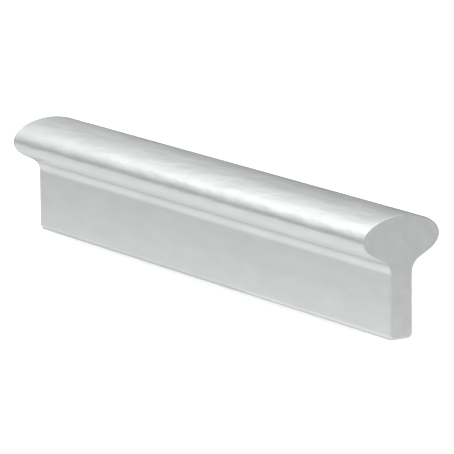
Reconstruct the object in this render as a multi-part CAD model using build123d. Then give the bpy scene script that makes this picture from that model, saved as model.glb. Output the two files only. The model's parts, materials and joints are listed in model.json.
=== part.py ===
from build123d import *

import math
import os

# Cabinet pull: one sawn length of a solid T-shaped aluminium extrusion.
# An elliptical grip head flares down to a flat stem, with a hollow neck on each side for the fingers.
# The stem's foot lies against the cabinet front and has tapped holes for screws from behind.
# Frame, in millimetres: X along the pull, Y across the head, Z from the foot face up to the crown.
# The origin is the centre of the foot face.

# Driving dimensions of the extruded section
PROJECTION = 26.5
HEAD_WIDTH = 20.0
HEAD_HEIGHT = 10.0
FLARE_ANGLE = 27.0
STEM_THICKNESS = 5.8
NECK_RADIUS = 3.3
FOOT_RADIUS = 1.0

# Driving dimensions along the pull
HOLE_SPACING = 128.0
END_MARGIN = 5.0
END_EDGE_RADIUS = 0.35

# Driving dimensions of each tapped hole, drilled for an M4 thread
TAP_DRILL_DIAMETER = 3.3
TAP_DRILL_DEPTH = 12.0
DRILL_POINT_ANGLE = 118.0
COUNTERSINK_WIDTH = 0.2
COUNTERSINK_ANGLE = 90.0

# Sizes that follow from them
LENGTH = HOLE_SPACING + 2 * END_MARGIN
HEAD_CENTRE_HEIGHT = PROJECTION - HEAD_HEIGHT / 2


def depth_of_cone(radius, full_angle):
    """How deep a cone of this full angle reaches while its radius shrinks by the given amount."""
    return radius / math.tan(math.radians(full_angle / 2))


def lowest_corners(outline, level):
    """The corners of a sketch at its lowest level (0), the next one up (1), and so on."""
    return outline.vertices().group_by(Axis.Y)[level]


def t_section():
    """The extrusion's section: sketch X is across the head, sketch Y is up from the foot face."""
    half_stem = STEM_THICKNESS / 2
    flare_slope = math.tan(math.radians(FLARE_ANGLE))
    # Each flare runs on smoothly from the ellipse, from the point where both slope alike
    touch_angle = math.degrees(math.atan2(HEAD_HEIGHT, HEAD_WIDTH * flare_slope))
    head = EllipticalCenterArc(
        (0, HEAD_CENTRE_HEIGHT),
        HEAD_WIDTH / 2,
        HEAD_HEIGHT / 2,
        start_angle=-touch_angle,
        arc_size=180 + 2 * touch_angle,
    )
    right_touch, left_touch = head @ 0, head @ 1
    neck_height = right_touch.Y - (right_touch.X - half_stem) * flare_slope
    flares_and_stem = Polyline(
        left_touch,
        (-half_stem, neck_height),
        (-half_stem, 0),
        (half_stem, 0),
        (half_stem, neck_height),
        right_touch,
    )
    sharp_section = make_face(head + flares_and_stem)
    necked_section = fillet(lowest_corners(sharp_section, level=1), NECK_RADIUS)
    return fillet(lowest_corners(necked_section, level=0), FOOT_RADIUS)


def sawn_bar():
    """The sawn length of section, with the edges of both sawn ends eased."""
    bar = extrude(Plane.YZ * t_section(), LENGTH / 2, both=True)
    sawn_edges = bar.faces().filter_by(Axis.X).edges()
    return fillet(sawn_edges, END_EDGE_RADIUS)


def tapped_hole():
    """The space of one blind hole, opening at the foot face: countersink, drilled wall, drill point."""
    drill_radius = TAP_DRILL_DIAMETER / 2
    half_outline = Polyline(
        (0, 0),
        (drill_radius + COUNTERSINK_WIDTH, 0),
        (drill_radius, depth_of_cone(COUNTERSINK_WIDTH, COUNTERSINK_ANGLE)),
        (drill_radius, TAP_DRILL_DEPTH),
        (0, TAP_DRILL_DEPTH + depth_of_cone(drill_radius, DRILL_POINT_ANGLE)),
        close=True,
    )
    return revolve(Plane.XZ * make_face(half_outline), Axis.Z)


def cabinet_pull():
    """The finished pull, with a tapped hole near each end."""
    finished = sawn_bar()
    for hole_place in GridLocations(HOLE_SPACING, 0, 2, 1):
        finished -= hole_place * tapped_hole()
    return finished


os.makedirs("parts", exist_ok=True)
pull = cabinet_pull()
pull.label = "pull"
export_step(pull, "parts/pull.step")
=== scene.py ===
import json
import math

import bpy
import numpy as np
from mathutils import Matrix, Vector


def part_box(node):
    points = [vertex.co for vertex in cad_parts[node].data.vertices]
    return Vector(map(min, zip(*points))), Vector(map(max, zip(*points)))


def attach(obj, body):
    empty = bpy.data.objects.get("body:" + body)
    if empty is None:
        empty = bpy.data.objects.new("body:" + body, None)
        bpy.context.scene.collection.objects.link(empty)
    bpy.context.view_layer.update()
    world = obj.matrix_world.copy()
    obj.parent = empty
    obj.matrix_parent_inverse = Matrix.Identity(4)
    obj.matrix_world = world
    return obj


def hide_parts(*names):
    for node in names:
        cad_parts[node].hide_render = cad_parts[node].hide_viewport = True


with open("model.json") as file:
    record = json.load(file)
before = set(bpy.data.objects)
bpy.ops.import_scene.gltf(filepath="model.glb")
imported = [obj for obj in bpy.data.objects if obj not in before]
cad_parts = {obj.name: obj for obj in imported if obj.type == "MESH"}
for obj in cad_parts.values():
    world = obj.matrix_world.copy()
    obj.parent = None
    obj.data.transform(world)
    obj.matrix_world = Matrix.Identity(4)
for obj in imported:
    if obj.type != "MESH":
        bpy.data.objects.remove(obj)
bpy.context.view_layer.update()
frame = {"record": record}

# Cabinet pull: a sawn length of T-shaped aluminium extrusion, satin anodised, on a pale studio floor.
# Everything is in metres. X runs along the pull, Y across the head and Z up from the foot face.

MM = 0.001

# The bar's overall sizes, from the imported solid. Its facets lie a little inside the true curves, so the
# sizes are rounded to a tenth of a millimetre.
low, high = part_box("pull")
LENGTH, HEAD_WIDTH, PROJECTION = (round(side, 4) for side in high - low)

# The section's other sizes, which repeat the solid's
HEAD_HEIGHT = 10.0 * MM
STEM_THICKNESS = 5.8 * MM
FLARE_ANGLE = math.radians(27)
NECK_RADIUS = 3.3 * MM
FOOT_RADIUS = 1.0 * MM
END_EDGE_RADIUS = 0.35 * MM
HEAD_CENTRE = PROJECTION - HEAD_HEIGHT / 2

# The tapped holes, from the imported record's mount, and the thread cut in them
screw_holes = next(m for m in frame["record"]["mounts"] if m["name"] == "screw_holes")
HOLE_SPACING = screw_holes["dims"]["spacing_x_mm"] * MM
DRILL_RADIUS = screw_holes["dims"]["hole_r_mm"] * MM
DRILL_DEPTH = 12.0 * MM
DRILL_POINT_ANGLE = math.radians(118)
COUNTERSINK_WIDTH = 0.2 * MM
THREAD_PITCH = 0.7 * MM
THREAD_DEPTH = 0.35 * MM
THREAD_LENGTH = 10.5 * MM
THREAD_ROOT_SHARE = 1 / 8
THREAD_FLANK_ANGLE = math.radians(30)

# How finely the mesh follows the curves
HEAD_STEP = math.radians(2.4)
NECK_STEP = math.radians(5)
FOOT_STEP = math.radians(11.25)
END_EDGE_STEPS = 7
FLARE_SPANS = 3
STEM_SPANS = 8
BAR_SPAN = 4.0 * MM
HOLE_SIDE_SPANS = 12
HOLE_FRONT_SPANS = 18
LEVELS_PER_PITCH = 10
HOLE_PATCH_REACH = 2.7 * MM

# Stations along the bar are rounded to this many digits of a metre, so that two at one place become one,
# and are found again with this allowance
STATION_DIGITS = 9
STATION_ALLOWANCE = 0.0001 * MM

# The heights between which the brushing of the head fades in, and the share of it that the stem has
BRUSHED_FROM = 15.5 * MM
BRUSHED_FULLY = 18.0 * MM
STEM_BRUSHING = 0.1

# A fine line of painted shade along the concave neck on each side
NECK_SHADE_HEIGHT = 16.35 * MM
NECK_SHADE_REACH = 1.4 * MM
PAINTED_NECK_SHADE = (0.64, 0.665, 0.66)

# The finishes: a darker and a lighter shade, the least and the most roughness, and the depths of the marks
SATIN_SHADES = (0.771, 0.798, 0.794), (0.819, 0.846, 0.842)
SATIN_ROUGHNESS = 0.34, 0.40
DIE_LINE_DEPTH = 0.010 * MM
STREAK_DEPTH = 0.23 * MM
SAWN_SHADES = (0.735, 0.755, 0.745), (0.81, 0.83, 0.82)
SAWN_ROUGHNESS = 0.46, 0.52
SAW_MARK_DEPTH = 0.005 * MM
TAPPED_SHADES = (0.66, 0.665, 0.67), (0.72, 0.725, 0.73)
TAPPED_ROUGHNESS = 0.28, 0.36

# The range in which most of a noise value lies
NOISE_LOW = 0.3
NOISE_HIGH = 0.7

# The bake map: the wall unrolled below, the end faces and the hole walls side by side above it
MAP_WIDTH = 142.0 * MM
MAP_MARGIN = 2.0 * MM

# The view, as the camera stands in the photograph. The lens and the sensor are in millimetres.
VIEW_AZIMUTH = math.radians(55.62)
VIEW_ELEVATION = math.radians(12.16)
VIEW_ROLL = math.radians(-0.39)
VIEW_DISTANCE = 0.9136
VIEW_TARGET = Vector((0.00472, 0.0, 0.01275))
VIEW_LENS = 327.95
VIEW_SENSOR = 36

# The studio dome: radiances, angles round the bar from +Y, and bounds on the x, y and z of a unit
# direction. The overhead and the ground are brightest where the bar mirrors them in the photograph's view.
DOME_RADIANCE = 0.41
OVERHEAD_RADIANCE = 1.28
OVERHEAD_ANGLE = math.radians(106.5)
OVERHEAD_REACH = math.radians(82)
SQUARE_ON_X = 0.35
SQUARE_ON_SHARE = 0.55
FULL_FROM_X = 0.60
FULL_TO_X = 0.72
END_ON_X = 0.88
OVERHEAD_END_SHARE = 0.08
GROUND_RADIANCE = 0.605
GROUND_NONE_ABOVE_Z = -0.10
GROUND_FULL_BELOW_Z = -0.30
GROUND_FULL_BELOW_Y = -0.485
GROUND_LOW_ABOVE_Y = -0.38
GROUND_LOW_SHARE = 0.69
GROUND_END_SHARE = 0.59
BACKDROP_DIRECTION = (-0.775, 0.575, -0.26)
BACKDROP_EDGE = math.radians(24)
BACKDROP_INSIDE = math.radians(13)
BACKDROP_SHARE = 0.05

# The floor, and how far it lies under the foot face
FLOOR_REACH = 4.0
FLOOR_DROP = 0.02 * MM
FLOOR_SHADE = (0.94, 0.94, 0.94)
FLOOR_ROUGHNESS = 0.9

# The dim strip over the floor, under the foot
CONTACT_SHADE_DROP = 0.012 * MM
CONTACT_SHADE_REACH = 3.6 * MM
CONTACT_SHADE_END = 15.0 * MM
CONTACT_SHADE_RADIANCE = 0.58

# The lamps near the bar: places, targets, sizes and radiances. The table's glow lies just over the strip.
TABLE_GLOW_DROP = 0.01 * MM
TABLE_GLOW_SIZE = (0.26, 0.042)
TABLE_GLOW_RADIANCE = 0.115
ACCENT_PLACE = (-0.099, -0.053, 0.176)
ACCENT_TARGET = (0.095, -0.009, 0.024)
ACCENT_SIZE = (0.08, 0.15)
ACCENT_RADIANCE = 0.30
FAR_ACCENT_PLACE = (-0.225, 0.080, 0.078)
FAR_ACCENT_TARGET = (-0.06, 0.0, 0.026)
FAR_ACCENT_SIZE = (0.10, 0.05)
FAR_ACCENT_RADIANCE = 0.13

# The light on the floor, which the metal doesn't mirror
FLOOR_LIGHT_HEIGHT = 0.9
FLOOR_LIGHT_SIZE = (1.6, 1.6)
FLOOR_LIGHT_RADIANCE = 2.4

# The numbers of the three finishes on the mesh
SIDE, SAWN, TAPPED = range(3)


class MeshParts:
    """Vertices and faces, gathered in turn. Each face corner has its normal and its place on the map."""

    def __init__(self):
        self.places = []
        self.faces = []
        self.normals = []
        self.map_places = []
        self.finishes = []

    def add_vertex(self, place):
        """Adds a vertex and returns its number."""
        self.places.append(tuple(place))
        return len(self.places) - 1

    def add_face(self, corners, finish):
        """corners holds (vertex, normal, place on the map) for each corner, anticlockwise from outside."""
        self.faces.append([vertex for vertex, _, _ in corners])
        self.normals += [normal for _, normal, _ in corners]
        self.map_places += [place for _, _, place in corners]
        self.finishes.append(finish)

    def to_object(self, name, materials):
        """A new object of all the faces, without the vertices that no face uses."""
        used = sorted({vertex for face in self.faces for vertex in face})
        new_number = {old: new for new, old in enumerate(used)}
        faces = [[new_number[vertex] for vertex in face] for face in self.faces]
        mesh = bpy.data.meshes.new(name)
        mesh.from_pydata([self.places[vertex] for vertex in used], [], faces)
        mesh.polygons.foreach_set("material_index", self.finishes)
        mesh.polygons.foreach_set("use_smooth", [True] * len(faces))
        layer = mesh.uv_layers.new(name="OFBake")
        layer.data.foreach_set("uv", np.array(self.map_places, np.float32).ravel())
        for material in materials:
            mesh.materials.append(material)
        mesh.normals_split_custom_set(self.normals)
        mesh.update()
        piece = bpy.data.objects.new(name, mesh)
        bpy.context.scene.collection.objects.link(piece)
        return piece


def facing(angle):
    """The unit direction (y, z) at this angle from +Y."""
    return np.array([math.cos(angle), math.sin(angle)])


def angles(start, end, step):
    """Even angles from start to end, no further apart than step."""
    return np.linspace(start, end, math.ceil(abs(end - start) / step) + 1)


def head_point(angle):
    """The point of the head's ellipse that faces this angle."""
    half_axes = np.array([HEAD_WIDTH, HEAD_HEIGHT]) / 2
    direction = facing(angle)
    return np.array([0, HEAD_CENTRE]) + half_axes**2 * direction / np.linalg.norm(half_axes * direction)


def half_section():
    """Points (y, z) and the angles they face, from the crown down one side to the foot's flat."""
    flare_facing = FLARE_ANGLE - math.pi / 2
    down_flare = facing(flare_facing - math.pi / 2)
    flare_top = head_point(flare_facing)
    neck_centre_y = STEM_THICKNESS / 2 + NECK_RADIUS
    flare_width = flare_top[0] + NECK_RADIUS * math.cos(flare_facing) - neck_centre_y
    flare_run = flare_width / math.cos(FLARE_ANGLE)
    neck_centre = flare_top + flare_run * down_flare + NECK_RADIUS * facing(flare_facing)
    foot_centre = np.array([STEM_THICKNESS / 2 - FOOT_RADIUS, FOOT_RADIUS])
    half = [(head_point(a), a) for a in angles(math.pi / 2, flare_facing, HEAD_STEP)]
    flare_shares = np.arange(1, FLARE_SPANS) / FLARE_SPANS
    half += [(flare_top + share * flare_run * down_flare, flare_facing) for share in flare_shares]
    half += [(neck_centre - NECK_RADIUS * facing(a), a) for a in angles(flare_facing, 0, NECK_STEP)]
    for z in np.linspace(neck_centre[1], foot_centre[1], STEM_SPANS + 1)[1:-1]:
        half.append((np.array([STEM_THICKNESS / 2, z]), 0.0))
    half += [(foot_centre + FOOT_RADIUS * facing(a), a) for a in angles(0, -math.pi / 2, FOOT_STEP)]
    return half


def hole_patch_angles():
    """Angles round a hole to points of the rectangle about it: along one end, and along one side."""
    flat_half = STEM_THICKNESS / 2 - FOOT_RADIUS
    corner = math.atan2(flat_half, HOLE_PATCH_REACH)
    ends = np.linspace(-corner, corner, HOLE_SIDE_SPANS + 1)
    sides = np.linspace(corner, math.pi - corner, HOLE_FRONT_SPANS + 1)
    return ends, sides


def whole_section():
    """The closed section: up the left side, over the crown, down the right and back along the foot."""
    half = half_section()
    left = [((-y, z), (-math.cos(a), math.sin(a))) for (y, z), a in reversed(half)]
    right = [((y, z), (math.cos(a), math.sin(a))) for (y, z), a in half[1:]]
    ends, _ = hole_patch_angles()
    foot_rows = HOLE_PATCH_REACH * np.tan(ends[::-1])[1:-1]
    foot = [((y, 0.0), (0.0, -1.0)) for y in foot_rows]
    loop = left + right + foot
    return np.array([p for p, _ in loop]), np.array([n for _, n in loop]), len(half)


def hole_centres():
    """Where the holes are along X."""
    return [-HOLE_SPACING / 2, HOLE_SPACING / 2]


def bar_stations():
    """Places along the bar's straight walls: every span, and close together beside the holes."""
    end = LENGTH / 2 - END_EDGE_RADIUS
    _, sides = hole_patch_angles()
    flat_half = STEM_THICKNESS / 2 - FOOT_RADIUS
    stations = {-end, end}
    for centre in hole_centres():
        stations |= {round(centre + flat_half / math.tan(a), STATION_DIGITS) for a in sides}
    inner = HOLE_SPACING / 2 - HOLE_PATCH_REACH
    spans = math.ceil(2 * inner / BAR_SPAN)
    stations |= {round(x, STATION_DIGITS) for x in np.linspace(-inner, inner, spans + 1)}
    return sorted(stations)


def rings():
    """(place along X, inset from the section, lean towards the end) of each ring, from end to end."""
    leans = np.linspace(math.pi / 2, 0, END_EDGE_STEPS + 1)
    edge = []
    for lean in leans:
        x = LENGTH / 2 - END_EDGE_RADIUS * (1 - math.sin(lean))
        edge.append((x, END_EDGE_RADIUS * (1 - math.cos(lean)), lean))
    walls = [(x, 0.0, 0.0) for x in bar_stations()[1:-1]]
    other_edge = [(-x, inset, -lean) for x, inset, lean in edge]
    return other_edge + walls + edge[::-1]


def add_walls(parts):
    """The walls with their eased ends. Returns the vertex numbers by ring and column, the rings,
    the section, the number of points in half of it, and the way round it to each point."""
    section, outward, half_count = whole_section()
    columns = len(section)
    steps = np.linalg.norm(np.roll(section, -1, axis=0) - section, axis=1)
    girth = np.concatenate([[0], np.cumsum(steps)])
    bar_rings = rings()
    numbers = np.zeros((len(bar_rings), columns), int)
    normals = np.zeros((len(bar_rings), columns, 3))
    for i, (x, inset, lean) in enumerate(bar_rings):
        for j in range(columns):
            y, z = section[j] - inset * outward[j]
            numbers[i, j] = parts.add_vertex((x, y, z))
            normals[i, j] = (math.sin(lean), *(math.cos(lean) * outward[j]))
    first_foot_column = 2 * half_count - 2
    across = [LENGTH / 2 + x for x, _, _ in bar_rings]

    def corner(i, j):
        column = j % columns
        place = ((MAP_MARGIN + across[i]) / MAP_WIDTH, (MAP_MARGIN + girth[j]) / MAP_WIDTH)
        return numbers[i, column], normals[i, column], place

    for i in range(len(bar_rings) - 1):
        middle = (bar_rings[i][0] + bar_rings[i + 1][0]) / 2
        in_patch = any(abs(middle - centre) < HOLE_PATCH_REACH for centre in hole_centres())
        for j in range(columns):
            if in_patch and j >= first_foot_column:
                continue
            loop = [corner(i, j), corner(i + 1, j), corner(i + 1, j + 1), corner(i, j + 1)]
            parts.add_face(loop, SIDE)
    return numbers, bar_rings, section, half_count, girth


def add_sawn_end(parts, ring, section, half_count, girth, side):
    """One flat sawn end, as rungs from the left side to the right. side is 1 at +X and -1 at -X."""
    columns = len(section)
    normal = (float(side), 0.0, 0.0)
    shift = MAP_MARGIN * 2 + HEAD_WIDTH / 2 + (HEAD_WIDTH + MAP_MARGIN) * (side > 0)
    lift = girth[-1] + 2 * MAP_MARGIN

    def corner(j):
        place = ((shift + section[j][0]) / MAP_WIDTH, (lift + section[j][1]) / MAP_WIDTH)
        return ring[j], normal, place

    def add(loop):
        parts.add_face([corner(j) for j in (loop if side > 0 else loop[::-1])], SAWN)

    def across(j):
        return 2 * half_count - 2 - j

    crown = half_count - 1
    foot = list(range(columns - 1, across(0), -1))
    add([0, *foot, across(0), across(1), 1])
    for j in range(1, crown - 1):
        add([j, across(j), across(j + 1), j + 1])
    add([crown - 1, across(crown - 1), crown])


def thread_radius(turn, depth):
    """The hole's radius at an angle round it and a depth: a helical groove, countersunk at the mouth."""
    place = np.mod((depth - THREAD_PITCH * turn / (2 * math.pi)) / THREAD_PITCH, 1.0)
    from_groove = np.abs(place - 0.5)
    root = THREAD_ROOT_SHARE / 2
    mouth = root + THREAD_DEPTH * math.tan(THREAD_FLANK_ANGLE) / THREAD_PITCH
    groove = THREAD_DEPTH * np.clip((mouth - from_groove) / (mouth - root), 0, 1)
    groove = groove * np.clip((THREAD_LENGTH - depth) / THREAD_PITCH, 0, 1)
    countersink = DRILL_RADIUS + COUNTERSINK_WIDTH - depth
    return np.maximum(DRILL_RADIUS + groove, countersink)


def add_hole(parts, centre, numbers, bar_rings, section, half_count, girth, order):
    """A tapped hole: the foot face around it, its threaded wall and the cone left by the drill."""
    columns = len(section)
    reach = HOLE_PATCH_REACH + STATION_ALLOWANCE
    inside = [i for i, (x, _, lean) in enumerate(bar_rings) if lean == 0 and abs(x - centre) < reach]
    right = 2 * half_count - 2
    rim = [(i, j) for i in inside for j in (right, 0)]
    rim += [(i, j) for i in (inside[0], inside[-1]) for j in range(right + 1, columns)]
    turns = {(i, j): math.atan2(section[j][0], bar_rings[i][0] - centre) for i, j in rim}
    rim.sort(key=turns.get)
    turn = np.array([turns[place] for place in rim])

    levels = np.arange(0, DRILL_DEPTH, THREAD_PITCH / LEVELS_PER_PITCH)
    levels = np.append(levels, DRILL_DEPTH)
    radius = thread_radius(turn[None, :], levels[:, None])
    depth = np.broadcast_to(levels[:, None], radius.shape)
    wall = np.stack([centre + radius * np.cos(turn), radius * np.sin(turn), depth], -1)
    up = np.gradient(wall, axis=0)
    round_about = np.roll(wall, -1, axis=1) - np.roll(wall, 1, axis=1)
    inward = np.cross(up, round_about)
    inward /= np.linalg.norm(inward, axis=-1, keepdims=True)
    wall_numbers = np.array([[parts.add_vertex(place) for place in level] for level in wall])

    foot_normal = (0.0, 0.0, -1.0)
    foot_girth = girth[right] + section[right][0]

    def foot_corner(vertex):
        x, y, _ = parts.places[vertex]
        place = ((MAP_MARGIN + LENGTH / 2 + x) / MAP_WIDTH, (MAP_MARGIN + foot_girth - y) / MAP_WIDTH)
        return vertex, foot_normal, place

    lift = girth[-1] + 2 * MAP_MARGIN
    wall_girth = 2 * math.pi * DRILL_RADIUS
    shift = 4 * MAP_MARGIN + 2 * HEAD_WIDTH + order * (wall_girth + MAP_MARGIN)

    def wall_place(k, depth):
        share = k / len(rim)
        return (shift + share * wall_girth) / MAP_WIDTH, (lift + depth) / MAP_WIDTH

    def wall_corner(level, k):
        column = k % len(rim)
        return wall_numbers[level, column], inward[level, column], wall_place(k, levels[level])

    point_depth = DRILL_RADIUS / math.tan(DRILL_POINT_ANGLE / 2)
    point = parts.add_vertex((centre, 0.0, DRILL_DEPTH + point_depth))
    cone_slope = Vector((math.cos(DRILL_POINT_ANGLE / 2), math.sin(DRILL_POINT_ANGLE / 2)))

    def cone_normal(k):
        a = turn[k % len(rim)]
        return -cone_slope.x * math.cos(a), -cone_slope.x * math.sin(a), -cone_slope.y

    last = len(levels) - 1
    for k in range(len(rim)):
        k_next = (k + 1) % len(rim)
        outer, outer_next = numbers[rim[k]], numbers[rim[k_next]]
        foot_loop = [outer, wall_numbers[0, k], wall_numbers[0, k_next], outer_next]
        parts.add_face([foot_corner(vertex) for vertex in foot_loop], SIDE)
        for level in range(last):
            parts.add_face(
                [
                    wall_corner(level, k),
                    wall_corner(level + 1, k),
                    wall_corner(level + 1, k + 1),
                    wall_corner(level, k + 1),
                ],
                TAPPED,
            )
        parts.add_face(
            [
                (wall_numbers[last, k], cone_normal(k), wall_place(k, DRILL_DEPTH)),
                (point, cone_normal(k), wall_place(k + 0.5, DRILL_DEPTH + point_depth)),
                (wall_numbers[last, k_next], cone_normal(k + 1), wall_place(k + 1, DRILL_DEPTH)),
            ],
            TAPPED,
        )


def pull_bar(materials):
    """The whole pull as one mesh."""
    parts = MeshParts()
    numbers, bar_rings, section, half_count, girth = add_walls(parts)
    add_sawn_end(parts, numbers[0], section, half_count, girth, -1)
    add_sawn_end(parts, numbers[-1], section, half_count, girth, 1)
    for order, centre in enumerate(hole_centres()):
        add_hole(parts, centre, numbers, bar_rings, section, half_count, girth, order)
    return parts.to_object("pull_bar", materials)


def new_material(name):
    """A material with its node tree and Principled shader."""
    material = bpy.data.materials.new(name)
    material.use_nodes = True
    return material, material.node_tree, material.node_tree.nodes["Principled BSDF"]


def stretched_noise(tree, stretch, scale, detail, roughness):
    """Noise over the object's own metres, drawn out along each axis by 1 / stretch."""
    coordinates = tree.nodes.new("ShaderNodeTexCoord")
    mapping = tree.nodes.new("ShaderNodeMapping")
    noise = tree.nodes.new("ShaderNodeTexNoise")
    mapping.inputs["Scale"].default_value = stretch
    noise.inputs["Scale"].default_value = scale
    noise.inputs["Detail"].default_value = detail
    noise.inputs["Roughness"].default_value = roughness
    tree.links.new(coordinates.outputs["Object"], mapping.inputs["Vector"])
    tree.links.new(mapping.outputs["Vector"], noise.inputs["Vector"])
    return noise.outputs["Fac"]


def blend_range(tree, value, low_value, high_value):
    """A number that follows a noise value from low_value to high_value."""
    ramp = tree.nodes.new("ShaderNodeMapRange")
    ramp.inputs["From Min"].default_value = NOISE_LOW
    ramp.inputs["From Max"].default_value = NOISE_HIGH
    ramp.inputs["To Min"].default_value = low_value
    ramp.inputs["To Max"].default_value = high_value
    tree.links.new(value, ramp.inputs["Value"])
    return ramp.outputs["Result"]


def blend_colour(tree, value, low_colour, high_colour, painted_shade_colour=None):
    """A colour that follows a noise value from low_colour to high_colour, with an optional painted shade
    colour at 0.
    """
    ramp = tree.nodes.new("ShaderNodeValToRGB")
    ramp.color_ramp.elements[0].position = NOISE_LOW
    ramp.color_ramp.elements[0].color = (*low_colour, 1)
    ramp.color_ramp.elements[1].position = NOISE_HIGH
    ramp.color_ramp.elements[1].color = (*high_colour, 1)
    if painted_shade_colour is not None:
        ramp.color_ramp.elements.new(0).color = (*painted_shade_colour, 1)
    tree.links.new(value, ramp.inputs["Fac"])
    return ramp.outputs["Color"]


def by_height(tree, start, end, start_value, end_value):
    """A number that goes from start_value to end_value between two heights over the foot face."""
    coordinates = tree.nodes.new("ShaderNodeTexCoord")
    axes = tree.nodes.new("ShaderNodeSeparateXYZ")
    ramp = tree.nodes.new("ShaderNodeMapRange")
    ramp.inputs["From Min"].default_value = start
    ramp.inputs["From Max"].default_value = end
    ramp.inputs["To Min"].default_value = start_value
    ramp.inputs["To Max"].default_value = end_value
    tree.links.new(coordinates.outputs["Object"], axes.inputs["Vector"])
    tree.links.new(axes.outputs["Z"], ramp.inputs["Value"])
    return ramp.outputs["Result"]


def off_neck_shade(tree, value):
    """The value, brought down to 0 along the middle of each neck's line of painted shade."""
    line, reach = NECK_SHADE_HEIGHT, NECK_SHADE_REACH
    below = by_height(tree, line - reach, line, 1, 0)
    above = by_height(tree, line, line + reach, 0, 1)
    off_shade = tree.nodes.new("ShaderNodeMath")
    off_shade.operation = "ADD"
    tree.links.new(below, off_shade.inputs[0])
    tree.links.new(above, off_shade.inputs[1])
    product = tree.nodes.new("ShaderNodeMath")
    product.operation = "MULTIPLY"
    tree.links.new(value, product.inputs[0])
    tree.links.new(off_shade.outputs["Value"], product.inputs[1])
    return product.outputs["Value"]


def bumped(tree, height, distance, under=None, strength=None):
    """A bump of this full height in metres, over another bump and of varied strength if given."""
    bump = tree.nodes.new("ShaderNodeBump")
    bump.inputs["Distance"].default_value = distance
    tree.links.new(height, bump.inputs["Height"])
    if under is not None:
        tree.links.new(under, bump.inputs["Normal"])
    if strength is not None:
        tree.links.new(strength, bump.inputs["Strength"])
    return bump.outputs["Normal"]


def satin_anodised():
    """Silver anodised: an even satin, brushed along the bar on the head. Each neck has a line of painted
    shade.
    """
    material, tree, shader = new_material("satin_anodised")
    clouds = stretched_noise(tree, stretch=(0.35, 1, 1), scale=220, detail=3, roughness=0.55)
    die_lines = stretched_noise(tree, stretch=(0.012, 1, 1), scale=1500, detail=3, roughness=0.6)
    streaks = stretched_noise(tree, stretch=(0.32, 1, 1), scale=310, detail=3, roughness=0.52)
    shader.inputs["Metallic"].default_value = 1.0
    off_shade = off_neck_shade(tree, streaks)
    # Along each neck the base colour is darkened to painted shade
    colour = blend_colour(tree, off_shade, *SATIN_SHADES, painted_shade_colour=PAINTED_NECK_SHADE)
    tree.links.new(colour, shader.inputs["Base Color"])
    tree.links.new(blend_range(tree, clouds, *SATIN_ROUGHNESS), shader.inputs["Roughness"])
    lines = bumped(tree, die_lines, DIE_LINE_DEPTH)
    brushing = by_height(tree, BRUSHED_FROM, BRUSHED_FULLY, STEM_BRUSHING, 1)
    tree.links.new(bumped(tree, streaks, STREAK_DEPTH, lines, brushing), shader.inputs["Normal"])
    return material


def sawn_anodised():
    """The sawn ends: more matt and a little darker, with the fine marks of the saw's teeth across them."""
    material, tree, shader = new_material("sawn_anodised")
    clouds = stretched_noise(tree, stretch=(1, 1, 1), scale=420, detail=4, roughness=0.65)
    saw_marks = stretched_noise(tree, stretch=(1, 0.06, 1), scale=1900, detail=3, roughness=0.6)
    shader.inputs["Metallic"].default_value = 1.0
    colour = blend_colour(tree, clouds, *SAWN_SHADES)
    tree.links.new(colour, shader.inputs["Base Color"])
    tree.links.new(blend_range(tree, clouds, *SAWN_ROUGHNESS), shader.inputs["Roughness"])
    tree.links.new(bumped(tree, saw_marks, SAW_MARK_DEPTH), shader.inputs["Normal"])
    return material


def tapped_anodised():
    """The cut threads: shinier and a little darker, with fine tool marks round the hole."""
    material, tree, shader = new_material("tapped_anodised")
    marks = stretched_noise(tree, stretch=(1, 1, 6), scale=1800, detail=2, roughness=0.5)
    shader.inputs["Metallic"].default_value = 1.0
    colour = blend_colour(tree, marks, *TAPPED_SHADES)
    tree.links.new(colour, shader.inputs["Base Color"])
    tree.links.new(blend_range(tree, marks, *TAPPED_ROUGHNESS), shader.inputs["Roughness"])
    return material


def pale_floor():
    """A wide plain floor, just under the foot face. The metal mirrors the dome's ground in its place."""
    reach, z = FLOOR_REACH, -FLOOR_DROP
    mesh = bpy.data.meshes.new("floor")
    corners = [(-reach, -reach, z), (reach, -reach, z), (reach, reach, z), (-reach, reach, z)]
    mesh.from_pydata(corners, [], [(0, 1, 2, 3)])
    material, _, shader = new_material("pale_floor")
    shader.inputs["Base Color"].default_value = (*FLOOR_SHADE, 1)
    shader.inputs["Roughness"].default_value = FLOOR_ROUGHNESS
    shader.inputs["Specular IOR Level"].default_value = 0.0
    mesh.materials.append(material)
    floor = bpy.data.objects.new("floor", mesh)
    bpy.context.scene.collection.objects.link(floor)
    floor.visible_glossy = False
    floor.visible_shadow = False


def contact_shade():
    """A dim strip under the foot, from the far end to past the middle. Only reflections show it."""
    far, near, y, z = -LENGTH / 2, CONTACT_SHADE_END, CONTACT_SHADE_REACH, -CONTACT_SHADE_DROP
    mesh = bpy.data.meshes.new("contact_shade")
    mesh.from_pydata([(far, -y, z), (near, -y, z), (near, y, z), (far, y, z)], [], [(0, 1, 2, 3)])
    material, _, shader = new_material("contact_shade")
    shader.inputs["Base Color"].default_value = (0, 0, 0, 1)
    shader.inputs["Specular IOR Level"].default_value = 0.0
    shader.inputs["Emission Color"].default_value = (1, 1, 1, 1)
    shader.inputs["Emission Strength"].default_value = CONTACT_SHADE_RADIANCE
    mesh.materials.append(material)
    shade = bpy.data.objects.new("contact_shade", mesh)
    bpy.context.scene.collection.objects.link(shade)
    shade.visible_camera = False
    shade.visible_diffuse = False
    shade.visible_shadow = False


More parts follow.
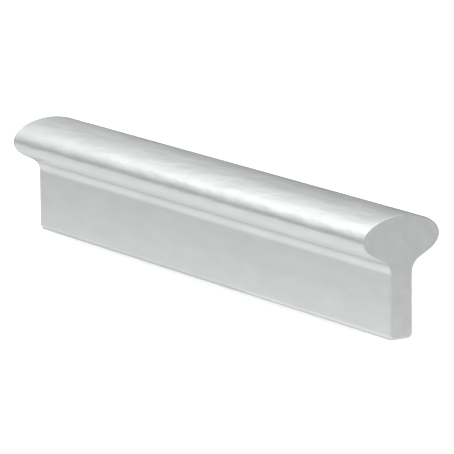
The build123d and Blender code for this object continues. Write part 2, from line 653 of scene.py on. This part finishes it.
def studio_dome():
    """Soft light from all round: a long pale overhead, a pale ground and a dark patch behind the bar."""
    world = bpy.data.worlds.new("studio_dome")
    world.use_nodes = True
    tree = world.node_tree
    coordinates = tree.nodes.new("ShaderNodeTexCoord")
    axes = tree.nodes.new("ShaderNodeSeparateXYZ")
    tree.links.new(coordinates.outputs["Generated"], axes.inputs["Vector"])

    def calculate(operation, *values):
        node = tree.nodes.new("ShaderNodeMath")
        node.operation = operation
        for socket, value in zip(node.inputs, values):
            if isinstance(value, float):
                socket.default_value = value
            else:
                tree.links.new(value, socket)
        return node.outputs["Value"]

    def graded(value, start, end, from_value, to_value, kind):
        node = tree.nodes.new("ShaderNodeMapRange")
        node.interpolation_type = kind
        node.inputs["From Min"].default_value = start
        node.inputs["From Max"].default_value = end
        node.inputs["To Min"].default_value = from_value
        node.inputs["To Max"].default_value = to_value
        tree.links.new(value, node.inputs["Value"])
        return node.outputs["Result"]

    x, y, z = axes.outputs
    round_bar = calculate("ARCTAN2", z, y)
    off_middle = calculate("ABSOLUTE", calculate("SUBTRACT", round_bar, OVERHEAD_ANGLE))
    overhead = graded(off_middle, 0, OVERHEAD_REACH, OVERHEAD_RADIANCE, 0, "SMOOTHSTEP")
    ground = graded(z, GROUND_FULL_BELOW_Z, GROUND_NONE_ABOVE_Z, GROUND_RADIANCE, 0, "SMOOTHSTEP")
    ahead = graded(y, GROUND_FULL_BELOW_Y, GROUND_LOW_ABOVE_Y, 1, GROUND_LOW_SHARE, "SMOOTHSTEP")
    along_bar = calculate("ABSOLUTE", x)
    square_on = graded(along_bar, SQUARE_ON_X, FULL_FROM_X, SQUARE_ON_SHARE, 1, "SMOOTHSTEP")
    overhead_end = graded(along_bar, FULL_TO_X, END_ON_X, 1, OVERHEAD_END_SHARE, "LINEAR")
    ground_end = graded(along_bar, FULL_TO_X, END_ON_X, 1, GROUND_END_SHARE, "LINEAR")
    shaped_overhead = calculate("MULTIPLY", overhead, overhead_end)
    shaped_ground = calculate("MULTIPLY", ground, calculate("MULTIPLY", ahead, ground_end))
    shaped = calculate("MULTIPLY", calculate("ADD", shaped_overhead, shaped_ground), square_on)
    towards = tree.nodes.new("ShaderNodeVectorMath")
    towards.operation = "DOT_PRODUCT"
    towards.inputs[1].default_value = BACKDROP_DIRECTION
    tree.links.new(coordinates.outputs["Generated"], towards.inputs[0])
    edge, inside = math.cos(BACKDROP_EDGE), math.cos(BACKDROP_INSIDE)
    backdrop = graded(towards.outputs["Value"], edge, inside, 1, BACKDROP_SHARE, "SMOOTHSTEP")
    background = tree.nodes["Background"]
    background.inputs["Color"].default_value = (1, 1, 1, 1)
    strength = calculate("MULTIPLY", calculate("ADD", shaped, DOME_RADIANCE), backdrop)
    tree.links.new(strength, background.inputs["Strength"])
    bpy.context.scene.world = world


def softbox(name, place, target, size, radiance):
    """A rectangular soft light at place, turned towards target. The camera doesn't see the lamp."""
    data = bpy.data.lights.new(name, "AREA")
    data.shape = "RECTANGLE"
    data.size, data.size_y = size
    data.energy = radiance * math.pi * size[0] * size[1]
    lamp = bpy.data.objects.new(name, data)
    bpy.context.scene.collection.objects.link(lamp)
    lamp.location = place
    lamp.rotation_euler = (Vector(target) - Vector(place)).to_track_quat("-Z", "Y").to_euler()
    lamp.visible_camera = False
    return lamp


def photo_camera():
    """The camera, at the photograph's angle."""
    a, e = VIEW_AZIMUTH, VIEW_ELEVATION
    back = Vector((math.sin(a) * math.cos(e), -math.cos(a) * math.cos(e), math.sin(e)))
    level_right = Vector((math.cos(a), math.sin(a), 0))
    level_up = back.cross(level_right)
    right = math.cos(VIEW_ROLL) * level_right + math.sin(VIEW_ROLL) * level_up
    up = back.cross(right)
    data = bpy.data.cameras.new("photo_camera")
    data.lens = VIEW_LENS
    data.sensor_width = VIEW_SENSOR
    camera = bpy.data.objects.new("photo_camera", data)
    bpy.context.scene.collection.objects.link(camera)
    turn = Matrix((right, up, back)).transposed().to_4x4()
    camera.matrix_world = Matrix.Translation(VIEW_TARGET + VIEW_DISTANCE * back) @ turn
    bpy.context.scene.camera = camera


bar = pull_bar([satin_anodised(), sawn_anodised(), tapped_anodised()])
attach(bar, "root")
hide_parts("pull")

pale_floor()
contact_shade()
studio_dome()
softbox("table_glow", (0, 0, -TABLE_GLOW_DROP), (0, 0, 1), TABLE_GLOW_SIZE, TABLE_GLOW_RADIANCE)
softbox("accent", ACCENT_PLACE, ACCENT_TARGET, ACCENT_SIZE, ACCENT_RADIANCE)
softbox("far_accent", FAR_ACCENT_PLACE, FAR_ACCENT_TARGET, FAR_ACCENT_SIZE, FAR_ACCENT_RADIANCE)
above = (0, 0, FLOOR_LIGHT_HEIGHT)
floor_light = softbox("floor_light", above, (0, 0, 0), FLOOR_LIGHT_SIZE, FLOOR_LIGHT_RADIANCE)
floor_light.visible_glossy = False
photo_camera()
bpy.context.scene.view_settings.view_transform = "Standard"
